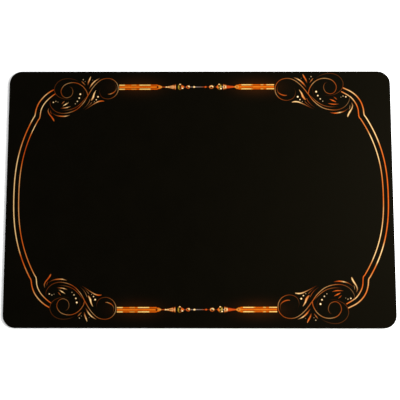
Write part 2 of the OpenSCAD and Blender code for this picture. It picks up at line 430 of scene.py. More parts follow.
def named(tree, label):
    settings = {"data_type": "FLOAT"}
    node = tree.add("GeometryNodeInputNamedAttribute", settings, {"Name": label})
    return Value(tree, node.outputs["Attribute"])


def store(tree, geometry, label, value):
    settings = {"data_type": "FLOAT", "domain": "POINT"}
    values = {"Geometry": geometry, "Name": label, "Value": value}
    return tree.add("GeometryNodeStoreNamedAttribute", settings, values).outputs[0]


def lay_in_suede(tree, geometry, given):
    """Flattens a profile with a rise of -1 to 1 into a lens that lies in the suede."""
    position = tree.position()
    x, y, _ = tree.parts(position)
    rise = named(tree, "rise")
    above = tree.maths("MAXIMUM", rise, 0.0) * Value(tree, given["Crown"])
    above = above + tree.maths("GREATER_THAN", rise, -0.01) * named(tree, "lift")
    below = tree.maths("MINIMUM", rise, 0.0) * Value(tree, given["Depth"])
    height = above + below + Value(tree, given["Top"]) + swell(tree, position)
    lens = tree.add("ShaderNodeCombineXYZ", values={0: x, 1: y, 2: height})
    values = {"Geometry": geometry, "Position": lens.outputs[0]}
    return tree.add("GeometryNodeSetPosition", values=values).outputs[0]


def line_tree():
    group, tree, given = new_tree("dyed_line", {
        "Step": ("Float", LINE_STEP),
        "Top": ("Float", TOP),
        "Crown": ("Float", LINE_CROWN),
        "Depth": ("Float", DYE_DEPTH),
        "Finish": ("Material", None),
    })
    curve = tree.add("GeometryNodeMeshToCurve", values={0: given["Geometry"]}).outputs[0]
    smooth = tree.add("GeometryNodeCurveSplineType", {"spline_type": "CATMULL_ROM"}, {0: curve})
    fine = tree.add(
        "GeometryNodeResampleCurve",
        {"mode": "LENGTH"},
        {"Curve": smooth.outputs[0], "Length": given["Step"]},
    )
    level = tree.add("GeometryNodeSetCurveNormal", {"mode": "Z_UP"}, {0: fine.outputs[0]})

    circle = tree.add("GeometryNodeCurvePrimitiveCircle", values={"Resolution": 12, "Radius": 1.0})
    x, y, _ = tree.parts(tree.position())
    profile = store(tree, circle.outputs[0], "across", x)
    profile = store(tree, profile, "rise", y * -1.0)

    values = {
        "Curve": level.outputs[0], "Profile Curve": profile,
        "Scale": named(tree, "half_width"), "Fill Caps": True,
    }
    tube = tree.add("GeometryNodeCurveToMesh", values=values).outputs[0]
    end_tree(tree, lay_in_suede(tree, tube, given), given["Finish"])
    return group


LINE_TREE = line_tree()
print("tree:", LINE_TREE.name)

# %% [markdown]
# ## Growing the pearls
# The runs of dots are drawn as pearls. Each is a flat dome on a point, which carries its radius and
# its cover. Instancing one small sphere and flattening it afterwards is lighter than drawing each
# dot, and Realize Instances makes the result a plain mesh at the end.

# %% The pearl tree
PEARL_CROWN = 0.05 * MM


def pearl_tree():
    group, tree, given = new_tree("dyed_pearl", {
        "Top": ("Float", TOP),
        "Crown": ("Float", PEARL_CROWN),
        "Depth": ("Float", DYE_DEPTH),
        "Finish": ("Material", None),
    })
    values = {"Segments": 20, "Rings": 10, "Radius": 1.0}
    ball = tree.add("GeometryNodeMeshUVSphere", values=values).outputs[0]
    x, y, z = tree.parts(tree.position())
    ball = store(tree, ball, "across", (x * x + y * y) ** 0.5)
    ball = store(tree, ball, "rise", z)
    values = {"Points": given["Geometry"], "Instance": ball, "Scale": named(tree, "half_width")}
    balls = tree.add("GeometryNodeInstanceOnPoints", values=values).outputs[0]
    real = tree.add("GeometryNodeRealizeInstances", values={"Geometry": balls}).outputs[0]
    end_tree(tree, lay_in_suede(tree, real, given), given["Finish"])
    return group


PEARL_TREE = pearl_tree()
print("tree:", PEARL_TREE.name)

# %% [markdown]
# A drawing for either tree is a mesh with no faces: points, the edges that join the points of a line,
# and the attributes. `dye` makes that drawing, grows it, and hides the flat CAD zone that the finished
# piece stands for.

# %% Draw and dye
ATTRIBUTES = ("half_width", "tone", "cover", "stain", "lift")
THIN_LIFT = 0.004 * MM
STACK_LIFT = 0.02 * MM


def stack_levels(lines):
    """Each line's place in the stack: one above the highest earlier line that it may cross."""
    spans = [(line[:, 0].min() - MM, line[:, 0].max() + MM) for line in lines]
    levels = []
    for i, (low, high) in enumerate(spans):
        below = [levels[j] for j in range(i) if spans[j][0] < high and low < spans[j][1]]
        levels.append(max(below, default=-1) + 1)
    return levels


def drawing(name, lines, joined, lift):
    """lines: arrays with x and y in metres, width in millimetres, tone, cover and stain."""
    points = np.concatenate(lines)
    lifts = np.repeat(np.array(stack_levels(lines)) * lift, [len(line) for line in lines])
    edges = []
    start = 0
    for line in lines:
        if joined:
            edges += [(start + i, start + i + 1) for i in range(len(line) - 1)]
        start += len(line)
    mesh = bpy.data.meshes.new(name)
    places = np.column_stack([points[:, 0], points[:, 1], np.zeros(len(points))])
    mesh.from_pydata(places.tolist(), edges, [])
    columns = (points[:, 2] / 2 * MM, points[:, 3], points[:, 4], points[:, 5], lifts)
    for label, column in zip(ATTRIBUTES, columns):
        mesh.attributes.new(label, "FLOAT", "POINT").data.foreach_set("value", column)
    return mesh


def stand_for(piece, node):
    """The piece rides with the mat and hides its CAD node."""
    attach(piece, "root")
    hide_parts(node)


def dye(node, lines, slot, pearls=False, lift=THIN_LIFT):
    name = node + "_dye"
    tree = PEARL_TREE if pearls else LINE_TREE
    piece = grow(name, drawing(name, lines, not pearls, lift), tree, {"Finish": DYES[slot]})
    for face in piece.data.polygons:
        face.use_smooth = True
    stand_for(piece, node)


print("each point of a line carries:", ATTRIBUTES)

# %% [markdown]
# ## The corner scrolls
# One scroll was drawn, in a frame whose first axis points outwards to the short edge and whose second
# points to the near long edge, with the crossing of its two main lines at zero. Each point is
# (outwards, near edge, width, tone on the left side, tone on the right side, cover). The left and the
# right scroll share their shape but not their colours: the right one is a fifteenth larger, tilted,
# and paler in other places. Front and back are mirror images.

# %% The scroll's lines
SCROLL = {
    "stem": [
        (-19.8, 13, 0.5, 0.4, 0.5, 0.1), (-18.3, 5, 1.3, 0.4, 0.6, 0.3),
        (-23, -3, 1.5, 0.35, 0.5, 0.5), (-33, -5.3, 1.6, 0.5, 0.4, 0.55),
        (-42.5, -1, 1.9, 0.6, 0.45, 0.75), (-47.6, 8, 2.1, 0.85, 0.8, 0.8),
        (-46.2, 18.5, 2.1, 0.85, 0.4, 0.8), (-39, 25.8, 2, 0.5, 0.35, 0.75),
        (-29, 27.6, 2, 0.35, 0.5, 0.7), (-19, 24.3, 2, 0.6, 0.75, 0.8),
        (-9, 14.5, 2, 0.85, 0.75, 0.85), (0, 0, 2.3, 0.4, 0.4, 0.9),
        (6.5, -11.3, 2.3, 0.85, 0.7, 0.9), (16.5, -21.5, 2.1, 0.25, 0.85, 0.85),
        (28, -26.8, 2, 0.75, 0.65, 0.85), (40, -28.3, 1.9, 0.5, 0.45, 0.6),
        (50.5, -25, 1.8, 0.4, 0.7, 0.55), (57.5, -18, 1.7, 0.4, 0.8, 0.5),
        (59.6, -11, 1.2, 0.35, 0.6, 0.4), (57.5, -6.5, 0.5, 0.3, 0.4, 0.1),
    ],
    "eye": [
        (0, 0, 2.3, 0.4, 0.4, 0.9), (2.5, 7.5, 2.1, 0.6, 0.4, 0.85),
        (9, 15.5, 2.1, 0.5, 0.8, 0.85), (18, 20.3, 2.1, 0.35, 0.65, 0.8),
        (28, 20.7, 2.1, 0.75, 0.85, 0.8), (37.5, 16.6, 2.1, 0.8, 0.5, 0.8),
        (42.4, 8, 2.1, 0.4, 0.4, 0.7), (39.8, -0.3, 2, 0.45, 0.4, 0.65),
        (33, -3.4, 2, 0.75, 0.35, 0.7), (26, 0, 1.8, 0.7, 0.6, 0.65),
        (23.7, 7, 1.8, 0.7, 0.65, 0.6), (26, 12.8, 1.5, 0.6, 0.55, 0.45),
        (30.8, 15, 0.5, 0.5, 0.5, 0.1),
    ],
    "ring": [
        (12.5, 21.5, 0.4, 0.5, 0.55, 0.1), (20.5, 25.6, 1.4, 0.5, 0.6, 0.28),
        (31, 27.5, 1.6, 0.5, 0.5, 0.35), (41, 26, 1.6, 0.5, 0.5, 0.4),
        (49, 20.5, 1.6, 0.45, 0.5, 0.42), (53, 12, 1.6, 0.45, 0.6, 0.42),
        (51.4, 4, 1.6, 0.5, 0.35, 0.5), (46.6, -1.2, 1.5, 0.5, 0.5, 0.45),
        (40.5, -4.1, 1.4, 0.5, 0.45, 0.4), (33.5, -5.7, 1.3, 0.5, 0.4, 0.25),
        (26.5, -5.5, 1.1, 0.5, 0.4, 0.2), (20.5, -3.2, 0.4, 0.5, 0.4, 0.08),
    ],
    "stem_echo": [
        (3.2, -2.8, 0.5, 0.5, 0.5, 0.5), (9.5, -11.2, 1.8, 0.4, 0.6, 0.75),
        (18.5, -18.7, 1.8, 0.2, 0.5, 0.65), (29.5, -22.7, 1.7, 0.65, 0.55, 0.55),
        (41, -23.6, 0.5, 0.4, 0.4, 0.15),
    ],
    "curl_tip": [
        (-41.5, 20.5, 0.4, 0.5, 0.5, 0.15), (-44.2, 15, 1.2, 0.55, 0.5, 0.4),
        (-44.3, 9.4, 2.2, 0.75, 0.5, 0.55), (-40.6, 5, 3, 0.3, 0.3, 0.9),
        (-35.4, 2.6, 2.8, 0.8, 0.35, 0.9), (-31.6, 2.3, 1.4, 0.45, 0.5, 0.7),
    ],
    "eye_echo": [
        (10.5, 13, 0.4, 0.5, 0.5, 0.1), (7.3, 6.5, 0.9, 0.5, 0.45, 0.25),
        (7.8, -1.5, 0.9, 0.5, 0.45, 0.25), (11.6, -9.3, 0.4, 0.5, 0.45, 0.1),
    ],
}
LEAVES = {
    "top": [
        (-4.2, 31, 0.5, 0.9, 0.75, 0.8), (-2.6, 26.5, 3.2, 0.9, 0.4, 0.95),
        (-0.6, 21.5, 3, 0.7, 0.45, 0.8), (0.4, 16.5, 0.5, 0.5, 0.4, 0.3),
    ],
    "bud": [
        (10.4, 23.2, 0.5, 0.6, 0.6, 0.6), (7.6, 20.4, 2.3, 0.65, 0.65, 0.7),
        (4.3, 16.8, 0.5, 0.6, 0.45, 0.5),
    ],
    "long": [
        (-18, 27.8, 0.5, 0.7, 0.7, 0.5), (-11, 23.4, 2.6, 0.95, 0.95, 0.95),
        (-5.8, 17.6, 3, 0.9, 0.5, 0.9), (-1.6, 10.5, 0.5, 0.5, 0.4, 0.3),
    ],
    "heart": [
        (-12.6, 8.6, 0.5, 0.9, 0.8, 0.8), (-9.8, 2.8, 3, 0.95, 0.85, 1),
        (-8.6, -2, 4.5, 1, 0.7, 1), (-6.5, -6, 3.6, 0.8, 0.6, 0.85),
        (-4.8, -8, 1.2, 0.7, 0.5, 0.6),
    ],
    "strand_a": [
        (-3.6, -5.6, 0.5, 0.8, 0.4, 0.7), (-1.8, -10.5, 1.4, 0.75, 0.4, 0.6),
        (1.8, -16, 1.1, 0.7, 0.4, 0.4), (7.5, -21.5, 0.4, 0.6, 0.4, 0.15),
    ],
    "strand_b": [
        (-6.6, -10.2, 0.5, 0.8, 0.6, 0.7), (-3.8, -13.8, 1.2, 0.75, 0.4, 0.5),
        (1.2, -19.2, 0.4, 0.5, 0.4, 0.2),
    ],
    "tail": [
        (-25.6, -8.9, 1.2, 0.3, 0.9, 0.85), (-21, -8.7, 2.9, 0.35, 1, 0.95),
        (-15.2, -10.2, 2.8, 0.85, 0.95, 0.9), (-7.5, -14.8, 1.8, 0.65, 0.7, 0.6),
        (-0.5, -19.6, 1.2, 0.5, 0.35, 0.4), (5, -23.2, 0.4, 0.4, 0.3, 0.15),
    ],
    "chip": [
        (40.8, -13.4, 0.5, 0.4, 0.4, 0.5), (38.8, -10.8, 2.2, 0.65, 0.35, 0.7),
        (36.4, -8.4, 0.5, 0.6, 0.35, 0.5),
    ],
    "seed": [
        (39, -16.6, 0.5, 0.9, 0.4, 0.8), (34.6, -13.8, 2.8, 1, 0.35, 1),
        (30, -11, 0.5, 0.9, 0.35, 0.6),
    ],
    "slip": [
        (43, -20, 0.5, 0.3, 0.5, 0.3), (37, -19.7, 1.9, 0.7, 0.35, 0.85),
        (32, -18.8, 2.2, 0.95, 0.35, 0.9), (26.8, -17, 0.5, 0.7, 0.4, 0.5),
    ],
    "far": [
        (61.2, -20, 0.5, 0.7, 0.7, 0.4), (62.2, -24.6, 2.5, 0.65, 0.8, 0.65),
        (60.2, -29.4, 2.5, 0.4, 0.9, 0.8), (56.6, -33.8, 3.6, 0.15, 1, 0.9),
        (53.6, -38.2, 3.4, 0.35, 1, 0.9), (52.5, -40.8, 1.4, 0.45, 0.9, 0.7),
    ],
    "vein": [
        (58.6, -23, 0.4, 0.4, 0.8, 0.4), (58, -26.4, 1.4, 0.3, 0.85, 0.6),
        (56.9, -29.6, 0.4, 0.3, 0.9, 0.6),
    ],
    "under": [
        (57, -27, 0.4, 0.3, 0.5, 0.2), (49.5, -31.4, 1.6, 0.45, 0.4, 0.5),
        (42, -32.8, 2.6, 0.5, 0.95, 0.85), (34.5, -32.8, 2.6, 0.9, 0.3, 0.9),
        (27.6, -31, 0.5, 0.7, 0.3, 0.4),
    ],
}
PEARLS = [
    (12, 2.4, 2.3, 1), (13.5, -3.8, 2, 0.9), (16.4, -9.1, 1.8, 0.75), (19.6, -13, 1.4, 0.55),
    (-16, -1.9, 2.2, 1), (-13.4, -6.6, 1.6, 0.9), (-10.4, -9.8, 1.1, 0.55),
    (54.2, -10.6, 1.8, 0.85), (50.3, -9, 1.5, 0.6), (47, -10.2, 1.1, 0.45),
    (7.6, 25.8, 1.5, 0.6), (4.7, 22.7, 1.1, 0.45), (-7.2, 25.1, 1.1, 0.35),
]
LEFT = {
    "at": (-175.5, 159.9), "size": 1.0, "tilt": 0.0, "side": -1,
    "curl": 0.82, "leaf": 0.87, "strength": 0.84,
}
RIGHT = {
    "at": (171.5, 161.1), "size": 1.067, "tilt": math.radians(6.8), "side": 1,
    "curl": 0.95, "leaf": 0.98, "strength": 0.87,
}
print(len(SCROLL), "lines,", len(LEAVES), "leaves,", len(PEARLS), "pearls")

# %% [markdown]
# Placing a scroll is a tilt, an enlargement and one or two mirrorings of its points. `curl` and `leaf`
# say how much of their drawn width the lines and the leaves keep on that side, because the printer
# held the dye tighter on the left, and `strength` how much of its cover a line keeps. Four corners
# times lines, leaves and pearls give twelve pieces.

# %% Grow the twelve corner pieces
PEARL_TONE = 1.15
PEARL_SHARE = 0.84


def corner_points(points, side, front):
    u, v = points[:, 0], points[:, 1]
    turned_u = (u * math.cos(side["tilt"]) - v * math.sin(side["tilt"])) * side["size"]
    turned_v = (u * math.sin(side["tilt"]) + v * math.cos(side["tilt"])) * side["size"]
    x = side["at"][0] + side["side"] * turned_u
    y = (side["at"][1] + turned_v) * (-1 if front else 1)
    return printed(np.stack([x, y], 1))


def corner_line(line, side, front, kept, strength=1.0):
    points = np.array(line, float)
    tone = points[:, 4] if side is RIGHT else points[:, 3]
    places = corner_points(points, side, front)
    width = points[:, 2] * kept
    return np.column_stack([places, width, tone, points[:, 5] * strength, np.zeros(len(points))])


def rounder(line):
    """Adds a point between each two, so that a leaf swells like an ellipse and not like a diamond."""
    points = np.array(line, float)
    before = np.vstack([2 * points[0] - points[1], points[:-2]])
    after = np.vstack([points[2:], 2 * points[-1] - points[-2]])
    first, second = points[:-1], points[1:]
    middle = (first + second) / 2
    middle[:, :2] = (9 * (first + second) - before - after)[:, :2] / 16
    middle[:, 2] = np.sqrt((first[:, 2] ** 2 + second[:, 2] ** 2) / 2)
    out = np.empty((len(points) + len(middle), points.shape[1]))
    out[0::2], out[1::2] = points, middle
    return out


def corner_pearls(side, front):
    points = np.array(PEARLS, float)
    places = corner_points(points, side, front)
    width = points[:, 2] * 2 * PEARL_SHARE * side["size"]
    tone = np.full(len(points), PEARL_TONE)
    return np.column_stack([places, width, tone, points[:, 3], np.zeros(len(points))])


for front in (False, True):
    for side in (LEFT, RIGHT):
        corner = ("front" if front else "back") + ("_right" if side is RIGHT else "_left")
        kept, strength = side["curl"], side["strength"]
        curls = [corner_line(line, side, front, kept, strength) for line in SCROLL.values()]
        shapes = [rounder(rounder(line)) for line in LEAVES.values()]
        leaves = [corner_line(line, side, front, side["leaf"]) for line in shapes]
        dye("scroll_" + corner, curls, "dye_copper")
        dye("leaves_" + corner, leaves, "dye_pale_gold")
        dye("pearls_" + corner, [corner_pearls(side, front)], "dye_pale_gold", pearls=True)

# %% [markdown]
# ## The side lines
# Two parallel lines bow out along each short side. Their middle stretch is a power curve, flatter than
# a circle in the middle, and at each end a short shoulder steps on to the scroll. Their colour drifts
# in long stretches, listed as (place along the mat, tone).

# %% Grow the four side lines
BOW_POWER = 2.4
SIDE_LINES = {
    "outer_line_left": {
        "bow": (128.2, -288, -258.3), "width": 2.65,
        "step": [(-256.2, 139), (-251.7, 149.5), (-243.8, 159.3), (-236, 165.7), (-229.4, 169.6)],
        "tones": [
            (-169, 0.3), (-163, 0.75), (-152, 0.9), (-142, 0.4), (-130, 0.35), (-122, 0.45),
            (-113, 0.65), (-105, 0.3), (-93, 0.2), (-86, 0.8), (-60, 0.95), (0, 0.95), (60, 0.95),
            (72, 0.75), (88, 0.6), (98, 0.35), (112, 0.35), (119, 0.95), (130, 0.9), (136, 0.45),
            (146, 0.35), (155, 0.8), (163, 0.95), (167, 0.3), (169, 0.15),
        ],
    },
    "inner_line_left": {
        "bow": (125.2, -280.4, -250.5), "width": 2.3,
        "step": [(-248.6, 137.5), (-243.2, 148), (-235.2, 156.6), (-226.8, 163.2)],
        "tones": [
            (-162, 0.2), (-156, 0.6), (-146, 0.9), (-128, 1), (-120, 0.8), (-112, 0.5), (-95, 0.55),
            (-75, 0.4), (-60, 0.25), (-52, 0.4), (-45, 0.7), (35, 0.75), (48, 0.45), (58, 0.25),
            (72, 0.15), (85, 0.2), (97, 0.35), (103, 0.95), (112, 0.95), (118, 0.5), (126, 0.6),
            (132, 0.95), (150, 0.95), (157, 0.8), (162, 0.2),
        ],
    },
    "outer_line_right": {
        "bow": (128.2, 292, 258.2), "width": 2.95,
        "step": [(257, 138), (253.6, 148.5), (247, 158), (238, 165.3), (226, 171.2)],
        "tones": [
            (-170, 0.8), (-163, 0.85), (-152, 0.4), (-142, 0.6), (-132, 0.85), (-122, 0.7),
            (-115, 0.4), (-108, 0.5), (-102, 1), (-80, 0.95), (-70, 0.6), (-62, 0.35), (0, 0.35),
            (60, 0.4), (78, 0.5), (85, 0.85), (110, 1), (126, 0.95), (134, 0.7), (142, 0.4),
            (150, 0.35), (160, 0.8), (167, 0.95), (170, 0.6),
        ],
    },
    "inner_line_right": {
        "bow": (125.4, 284.4, 250), "width": 2.6,
        "step": [(248.8, 137.5), (245, 147), (237.4, 156.6), (223.5, 165.2)],
        "tones": [
            (-163, 0.35), (-160, 0.8), (-150, 0.95), (-142, 0.3), (-128, 0.25), (-120, 0.4),
            (-112, 0.55), (-104, 0.6), (-98, 0.95), (-60, 0.95), (-40, 0.8), (-20, 0.7), (-5, 0.45),
            (5, 0.4), (25, 0.55), (45, 0.7), (60, 0.95), (95, 0.95), (102, 0.6), (112, 0.55),
            (122, 0.5), (130, 0.3), (142, 0.35), (150, 0.8), (158, 0.95), (163, 0.5),
        ],
    },
}


def side_line(bow, width, step, tones):
    half, middle, end = bow
    share = np.linspace(-1, 1, 61)
    bowed = np.column_stack([middle + (end - middle) * abs(share) ** BOW_POWER, share * half])
    back = np.array(step, float)
    front = back[::-1] * (1, -1)
    points = np.concatenate([front, bowed, back])
    tone = np.interp(points[:, 1], *np.array(tones, float).T)
    widths, cover, stain = (np.full(len(points), number) for number in (width, 1.0, 0.0))
    return np.column_stack([printed(points), widths, tone, cover, stain])


for node, facts in SIDE_LINES.items():
    dye(node, [side_line(**facts)], "dye_copper")

# %% [markdown]
# ## Striped bars
# On each long side two striped bars glow orange. A bar is a stack of straight lines: a rust ground,
# two outer stripes dashed with pale gold, a bright middle stripe whose rust rims read as seams, and a
# copper cap with a dark lozenge in it. A point of a straight line is (along, width, tone, cover,
# stain), all in millimetres where it is a length.

# %% Draw the bars
EDGE_WIDTH, EDGE_OFFSET = 2.7, 3.15
MIDDLE_WIDTH = 4.8


def band(start, end, width, runs, fade=0.7):
    """A stripe of constant width whose tone changes at the given places."""
    way = 1 if end > start else -1
    points = [(start, width, runs[0][1], 1, 0)]
    for (place, after), (_, before) in zip(runs[1:], runs[:-1]):
        points += [(place - way * fade, width, before, 1, 0), (place + way * fade, width, after, 1, 0)]
    return points + [(end, width, runs[-1][1], 1, 0)]


BAR_GROUNDS = {
    "left": [(-126.1, 9, 0.24, 1, 0), (-64.2, 9, 0.3, 1, 0), (-61.6, 7.6, 0.5, 1, 0),
             (-58.4, 2.4, 0.5, 1, 0)],
    "right": [(117.8, 9, 0.24, 1, 0), (60.6, 9, 0.4, 1, 0), (58.2, 7.6, 0.6, 1, 0),
              (55.0, 2.4, 0.5, 1, 0)],
}
BAR_CAPS = {
    "left": [(-65.6, 8.4, 0.52, 1, 0), (-62.4, 7.6, 0.6, 1, 0), (-60.2, 4.4, 0.72, 1, 0),
             (-58.4, 2, 0.85, 1, 0)],
    "right": [(62.0, 8.8, 0.66, 1, 0), (58.9, 8, 0.8, 1, 0), (57.0, 5, 0.72, 1, 0),
              (55.0, 2, 0.6, 1, 0)],
}
EDGE_RUNS = {
    "left": [(-126, 0.98), (-117, 0.3), (-107, 0.72), (-99, 0.3), (-94.5, 1.0), (-76.5, 0.3)],
    "right": [(117.6, 1.0), (105.5, 0.3), (101, 0.85), (96.5, 0.3), (84.5, 0.75), (82, 1.0), (66, 0.35)],
}
MIDDLE_RUNS = {
    "left": [(-126, 0.38), (-116, 0.42), (-94.5, 0.3), (-77, 0.42)],
    "right": [(117.6, 0.36), (104, 0.44), (84, 0.34), (66, 0.46)],
}
LOZENGES = {"left": (-65.6, 1.7, -0.1), "right": (59.4, 1.3, 0.2)}


def straight(points, offset, front):
    """A line along the mat at an offset towards the far edge from the line of the rods."""
    table = np.array(points, float)
    y = np.full(len(table), BAR_LINE * (-1 if front else 1) + offset)
    return np.column_stack([printed(np.stack([table[:, 0], y], 1)), table[:, 1:]])


def sharpened(points):
    """Adds points just inside each step of a straight line, so the spline can't overshoot."""
    table = np.array(points, float)
    out = [table[0]]
    for first, second in zip(table[:-1], table[1:]):
        out += [first * 0.85 + second * 0.15, first * 0.15 + second * 0.85, second]
    return out


def dot(x, radius, tones, cover=1.0, stain=0.0):
    """A round or eye-shaped spot, with its tone at the left, middle and right."""
    shares = np.linspace(-0.98, 0.98, 9)
    widths = 2 * radius * np.sqrt(1 - shares ** 2)
    hues = np.interp(shares, (-1, 0, 1), tones)
    return [(x + s * radius, w, hue, cover, stain) for s, w, hue in zip(shares, widths, hues)]


def bar_lines(side, front):
    far, shoulder = BARS[side]
    way = 1 if shoulder > far else -1
    inner = shoulder - way * 2
    edge = band(far, shoulder, EDGE_WIDTH, EDGE_RUNS[side])
    middle = band(far, inner, MIDDLE_WIDTH, MIDDLE_RUNS[side])
    spot_x, spot_size, spot_tone = LOZENGES[side]
    stack = [
        (BAR_GROUNDS[side], 0), (edge, EDGE_OFFSET), (edge, -EDGE_OFFSET), (middle, 0),
        (BAR_CAPS[side], 0), (dot(spot_x, spot_size, (spot_tone,) * 3), 0),
    ]
    return [straight(sharpened(points), offset, front) for points, offset in stack]


for front in (False, True):
    for side in BARS:
        node = f"bar_{'front' if front else 'back'}_{side}"
        dye(node, bar_lines(side, front), "dye_orange", lift=STACK_LIFT)

# %% [markdown]
# ## Rods, beads and finials
# Between the bars runs a thin ashen rod. On its left are a cone, a windowed ring and an eye-shaped
# bead, and on its right another bead, a gem, a collar and a red cone. The same straight lines draw
# them. Dark spots are lines too, laid on top: windows in the ring and the gem, pupils in the beads.

# %% Draw the rods, beads and finials
RODS = [
    [(-58, 2.4, 0.1, 0.9, 0), (-53.9, 2.4, 0.2, 0.9, 0)],
    [(-23.6, 1.8, 0.2, 0.55, -0.4), (-21.2, 1.8, 0.2, 0.55, -0.4)],
    [(-13.7, 1.9, 0.8, 0.66, -0.9), (-10.2, 1.9, 0.8, 0.7, -0.9)],
    [(-5.8, 1.9, 0.9, 0.76, -0.9), (-1, 1.9, 0.8, 0.66, -0.8), (3, 1.9, 0.6, 0.66, -0.5),
     (7.6, 2, 0.1, 0.7, 0)],
    [(12.4, 1.8, 0.1, 0.5, 0), (14.5, 1.8, 0.2, 0.5, 0)],
    [(23.5, 1.8, 0.3, 0.45, 0), (26.8, 1.8, 0.2, 0.5, 0)],
]
DARK = (-0.25, -0.25, -0.25)
BEADS = [
    (dot(-52, 1.6, (0.8, 0.95, 1.0)), 0),
    (dot(-17.6, 3.4, (0.25, 0.5, 0.75)), 0), (dot(-16.9, 2.2, (0.8, 0.98, 1.0)), 0.9),
    (dot(-18.2, 1.3, DARK), -0.1),
    (dot(-8, 1.9, (1, 1.05, 1.0)), 0),
    (dot(9.8, 2.1, (0.1, 0.25, 0.1)), 0),
    (dot(19, 3.7, (0.5, 0.7, 0.7)), 0), (dot(19.4, 2.6, (0.9, 1.0, 1.0)), 0.8),
    (dot(18.7, 1.5, DARK), -0.5),
]
FINIALS = [
    # The left cone, its dark band and its collar
    ([(-50.4, 2.8, 0.8, 1, 0), (-46, 4.6, 0.85, 1, 0), (-41.8, 7.6, 0.82, 1, 0),
      (-37, 10.2, 0.72, 1, 0)], 0),
    ([(-47, 1.3, 0.5, 0.7, 0), (-41, 1.3, 0.45, 0.8, 0)], 0),
    ([(-40.2, 7.4, 0.1, 1, 0), (-38.9, 8.6, 0.14, 1, 0)], 0),
    # The windowed ring: moss on its left, orange on its right, two windows, a cap and a drop
    ([(-33.4, 6.4, 0.5, 1, 0.95), (-31.8, 10.2, 0.55, 1, 0.9), (-30, 11, 0.6, 1, 0.6),
      (-27.6, 8.8, 0.42, 1, 0), (-25, 5.2, 0.36, 1, 0), (-23.8, 2.6, 0.3, 1, 0)], 0),
    (dot(-29.9, 1.9, DARK), 1.7), (dot(-29.9, 1.9, (-0.2, -0.12, -0.05)), -1.7),
    (dot(-30.3, 1.5, (0.85, 0.95, 0.9)), 4.3), (dot(-26.4, 1.5, (1, 1.1, 1)), -1.9),
    # The gem: orange on its left, moss in its middle, with two windows, a cap and a drop
    ([(27, 2.8, 0.15, 1, 0), (28.6, 7.2, 0.36, 1, 0), (30.2, 10.2, 0.5, 1, 0.5),
      (32.6, 10.8, 0.85, 1, 0.95), (34.9, 8.2, 0.85, 1, 0.6)], 0),
    (dot(31.2, 1.5, DARK), 1.5), (dot(31.6, 1.4, (0, -0.2, -0.1)), -2.4),
    (dot(31.2, 1.4, (0.85, 1, 1)), 4.2), (dot(34.1, 1.6, (0.95, 1.1, 1)), -2.8),
    ([(35.2, 2, 0.8, 0.75, -1), (37.2, 2, 0.8, 0.75, -1)], 0),
    # The right cone and its collar
    ([(42.2, 10.4, 0.04, 1, 0), (45.5, 8.6, 0.1, 1, 0), (50, 5.8, 0.14, 1, 0),
      (55, 3.2, 0.25, 1, 0)], 0),
    ([(37.4, 10.8, 0.8, 1, 0), (39.4, 9.4, 0.76, 1, 0), (42.6, 7.6, 0.95, 1, 0)], 0),
    ([(38.6, 1.2, 0.4, 0.5, 0), (39.6, 3.6, 0.4, 0.8, 0), (40.6, 1.2, 0.5, 0.5, 0)], 0),
]

for front in (False, True):
    end = "front" if front else "back"
    dye("rod_" + end, [straight(sharpened(rod), 0, front) for rod in RODS], "dye_copper")
    for node, stack in (("beads_", BEADS), ("finials_", FINIALS)):
        lines = [straight(sharpened(points), offset, front) for points, offset in stack]
        dye(node + end, lines, "dye_pale_gold", lift=STACK_LIFT)

# %% [markdown]
# ## The suede face
# The face is a sheet of micro-suede, 600 by 400 mm with 20 mm corners, glued flat to the sponge. It is
# built as a regular grid, because a grid shows the swell of the cloth and has clean faces. The grid's
# corner squares are pulled into quarter circles by a formula. Three rings round its rim roll it over
# the cut edge, where the die pinched the pile down, and a wall and an underside close it.

# %% Suede sheet
CLOTH_LOW = float(cloth_low[2])
CELL = 3 * MM
# How far inside the outline each ring lies, and how far below the top
RIM = [(1.6 * MM, 0.0), (0.9 * MM, 0.03 * MM), (0.4 * MM, 0.12 * MM), (0.1 * MM, 0.28 * MM),
       (0.0, 0.48 * MM)]
# How far below the top the swell of the cloth has died out
SWELL_REACH = 0.3 * MM


def rounded(points, inset):
    """Pulls points of a rectangle, given as shares from -1 to 1, into the rounded outline."""
    size = np.array([HALF_LENGTH - inset, HALF_WIDTH - inset])
    radius = CORNER - inset
    place = np.abs(points) * size
    beyond = np.clip(place - (size - radius), 0, None)
    reach = np.maximum(np.linalg.norm(beyond, axis=1), 1e-9)
    squeeze = np.where(beyond.min(1) > 0, beyond.max(1) / reach, 1.0)
    return np.sign(points) * (place - beyond + beyond * squeeze[:, None])


